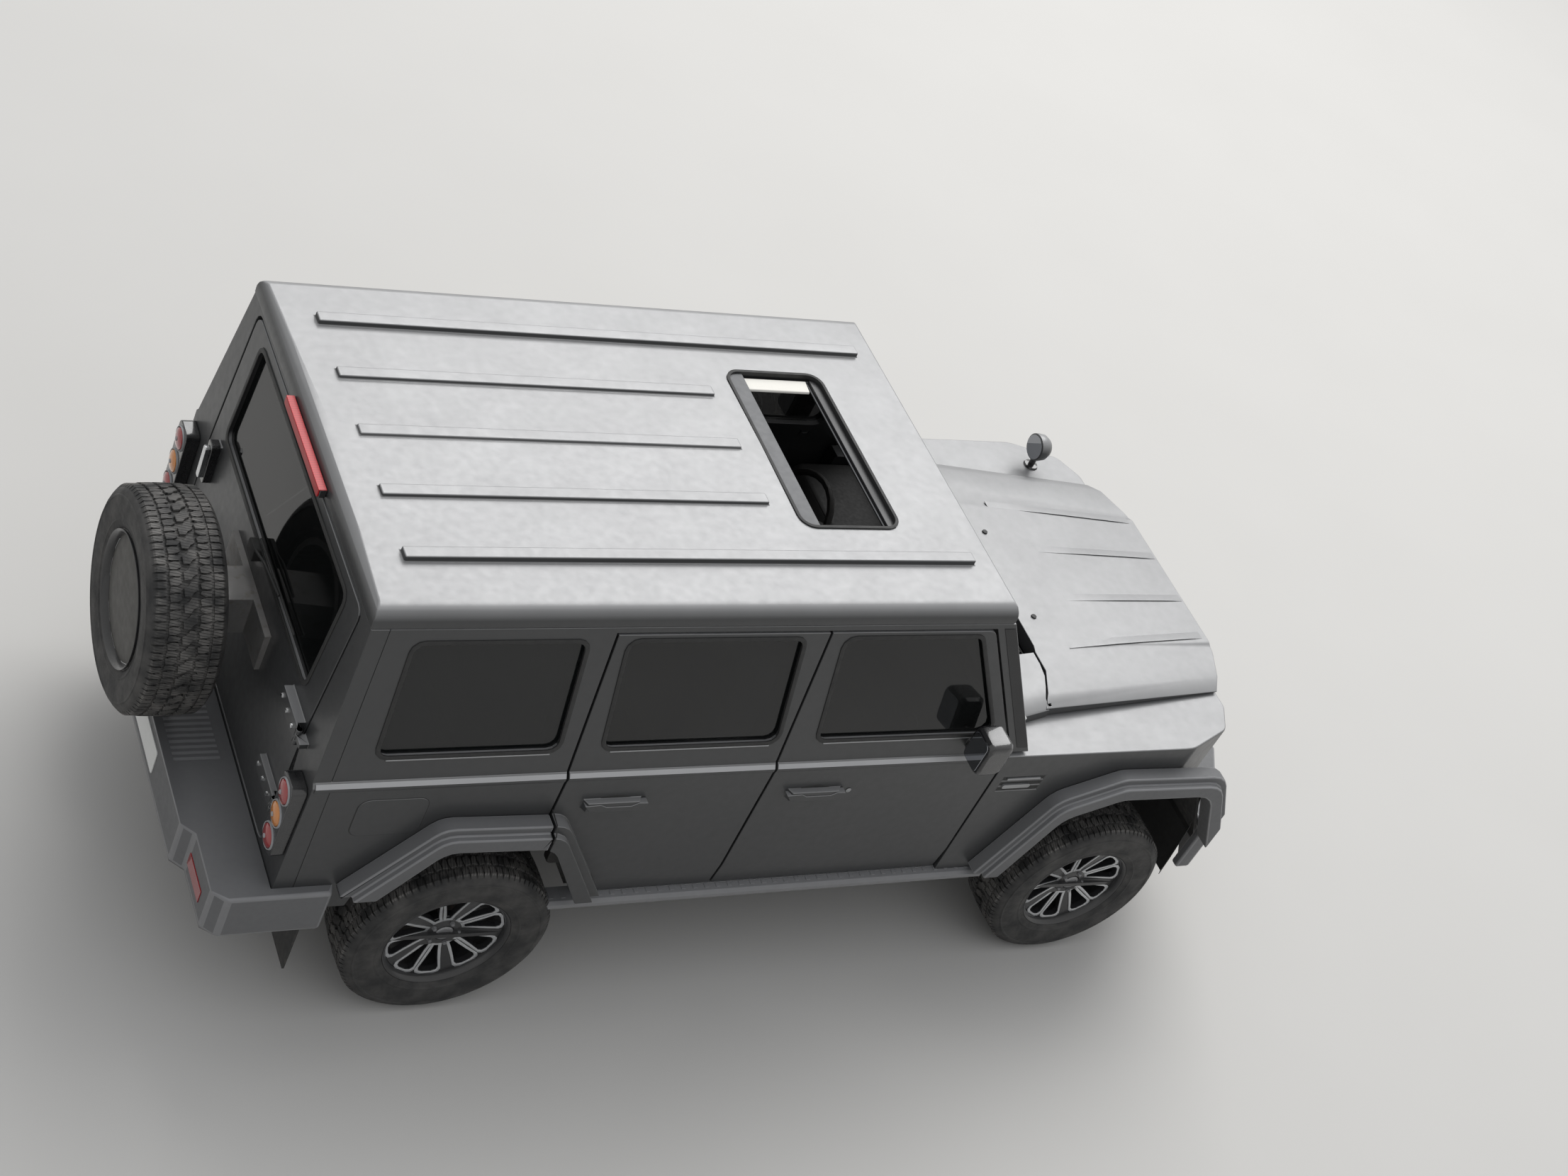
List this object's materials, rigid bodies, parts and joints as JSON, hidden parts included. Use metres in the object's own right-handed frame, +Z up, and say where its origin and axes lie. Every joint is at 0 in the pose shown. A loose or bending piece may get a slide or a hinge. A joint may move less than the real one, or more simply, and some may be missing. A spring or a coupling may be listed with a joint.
{
  "type": "four-wheel-drive estate car",
  "caption": "Boxy high-riding four-wheel-drive estate with side doors, side-hinged tailgate with spare wheel, lifting bonnet, open sunroof and steered front wheels.",
  "frame": {"origin": "on the ground, midway along the overall length from the spare wheel to the front bumper, on the centre plane", "axes": "+X forward, +Y to the vehicle's left, +Z up"},
  "size_m": [4.765, 2.044, 1.985],
  "materials": {
    "body_paint": "satin",
    "trim_grey": "matte",
    "black_plastic": "matte",
    "dark_glass": "gloss",
    "rubber_tyre": "matte",
    "alloy_rim": "satin",
    "chassis_steel": "satin",
    "cast_metal": "matte",
    "engine_metal": "matte",
    "exhaust_steel": "satin",
    "head_lens": "gloss",
    "tail_lens": "gloss",
    "seat_fabric": "matte",
    "dash_plastic": "matte",
    "liner_plastic": "matte"
  },
  "bodies": {
    "body": {"roof": "body_paint", "sunroof_frame": "black_plastic", "rear_frame": "body_paint", "body_sides": "body_paint", "floor_pan": "chassis_steel", "cowl": "black_plastic", "fixed_glass": "dark_glass", "fenders": "body_paint", "wheel_flares": "trim_grey", "wheel_liners": "liner_plastic", "front_panel": "body_paint", "headlamps": "head_lens", "tail_lamps": "tail_lens", "front_bumper": "trim_grey", "rear_bumper": "trim_grey", "chassis_frame": "chassis_steel", "front_suspension": "chassis_steel", "rear_axle": "cast_metal", "engine_block": "engine_metal", "driveline": "cast_metal", "exhaust": "exhaust_steel", "fuel_tank": "black_plastic", "dashboard": "dash_plastic", "seats": "seat_fabric", "fender_mirror": "black_plastic"},
    "steering_wheel": {"steering_wheel": "dash_plastic"},
    "bonnet": {"bonnet": "body_paint"},
    "tailgate": {"tailgate": "body_paint", "tailgate_glass": "dark_glass", "spare_tyre": "rubber_tyre", "spare_rim": "alloy_rim"},
    "door_front_left": {"door_front_left": "body_paint", "glass_front_left": "dark_glass"},
    "door_rear_left": {"door_rear_left": "body_paint", "glass_rear_left": "dark_glass"},
    "knuckle_left": {"knuckle_left": "cast_metal"},
    "wheel_front_left": {"tyre_front_left": "rubber_tyre", "rim_front_left": "alloy_rim"},
    "wheel_rear_left": {"tyre_rear_left": "rubber_tyre", "rim_rear_left": "alloy_rim"},
    "door_front_right": {"door_front_right": "body_paint", "glass_front_right": "dark_glass"},
    "door_rear_right": {"door_rear_right": "body_paint", "glass_rear_right": "dark_glass"},
    "knuckle_right": {"knuckle_right": "cast_metal"},
    "wheel_front_right": {"tyre_front_right": "rubber_tyre", "rim_front_right": "alloy_rim"},
    "wheel_rear_right": {"tyre_rear_right": "rubber_tyre", "rim_rear_right": "alloy_rim"}
  },
  "joints": [
    {"name": "front_door_left_swing", "type": "hinge", "parent": "body", "child": "door_front_left", "pos_m": [0.761, 0.882, 1.2], "axis": [0, 0, -1], "range_deg": [0, 65]},
    {"name": "rear_door_left_swing", "type": "hinge", "parent": "body", "child": "door_rear_left", "pos_m": [-0.24896, 0.882, 1.2], "axis": [0, 0, -1], "range_deg": [0, 65]},
    {"name": "steer_left", "type": "hinge", "parent": "body", "child": "knuckle_left", "pos_m": [1.5675, 0.715, 0.388], "axis": [0, 0, 1], "range_deg": [-32, 32]},
    {"name": "spin_front_left", "type": "hinge", "parent": "knuckle_left", "child": "wheel_front_left", "pos_m": [1.5675, 0.805, 0.388], "axis": [0, 1, 0], "continuous": true},
    {"name": "spin_rear_left", "type": "hinge", "parent": "body", "child": "wheel_rear_left", "pos_m": [-1.2325, 0.805, 0.388], "axis": [0, 1, 0], "continuous": true},
    {"name": "front_door_right_swing", "type": "hinge", "parent": "body", "child": "door_front_right", "pos_m": [0.761, -0.882, 1.2], "axis": [0, 0, 1], "range_deg": [0, 65]},
    {"name": "rear_door_right_swing", "type": "hinge", "parent": "body", "child": "door_rear_right", "pos_m": [-0.24896, -0.882, 1.2], "axis": [0, 0, 1], "range_deg": [0, 65]},
    {"name": "steer_right", "type": "hinge", "parent": "body", "child": "knuckle_right", "pos_m": [1.5675, -0.715, 0.388], "axis": [0, 0, 1], "range_deg": [-32, 32]},
    {"name": "spin_front_right", "type": "hinge", "parent": "knuckle_right", "child": "wheel_front_right", "pos_m": [1.5675, -0.805, 0.388], "axis": [0, 1, 0], "continuous": true},
    {"name": "spin_rear_right", "type": "hinge", "parent": "body", "child": "wheel_rear_right", "pos_m": [-1.2325, -0.805, 0.388], "axis": [0, 1, 0], "continuous": true},
    {"name": "steering_wheel_turn", "type": "hinge", "parent": "body", "child": "steering_wheel", "pos_m": [0.3575, 0.3715, 1.27], "axis": [-0.9063, 0, 0.4226], "range_deg": [-450, 450]},
    {"name": "bonnet_lift", "type": "hinge", "parent": "body", "child": "bonnet", "pos_m": [1.0495, 0, 1.285], "axis": [0, -1, 0], "range_deg": [0, 50]},
    {"name": "tailgate_swing", "type": "hinge", "parent": "body", "child": "tailgate", "pos_m": [-1.9595, -0.714, 1.2], "axis": [0, 0, 1], "range_deg": [0, 90]}
  ],
  "couplings": [
    {"joint": "steer_right", "follows": "steer_left", "ratio": 1},
    {"joint": "steering_wheel_turn", "follows": "steer_left", "ratio": 14}
  ]
}
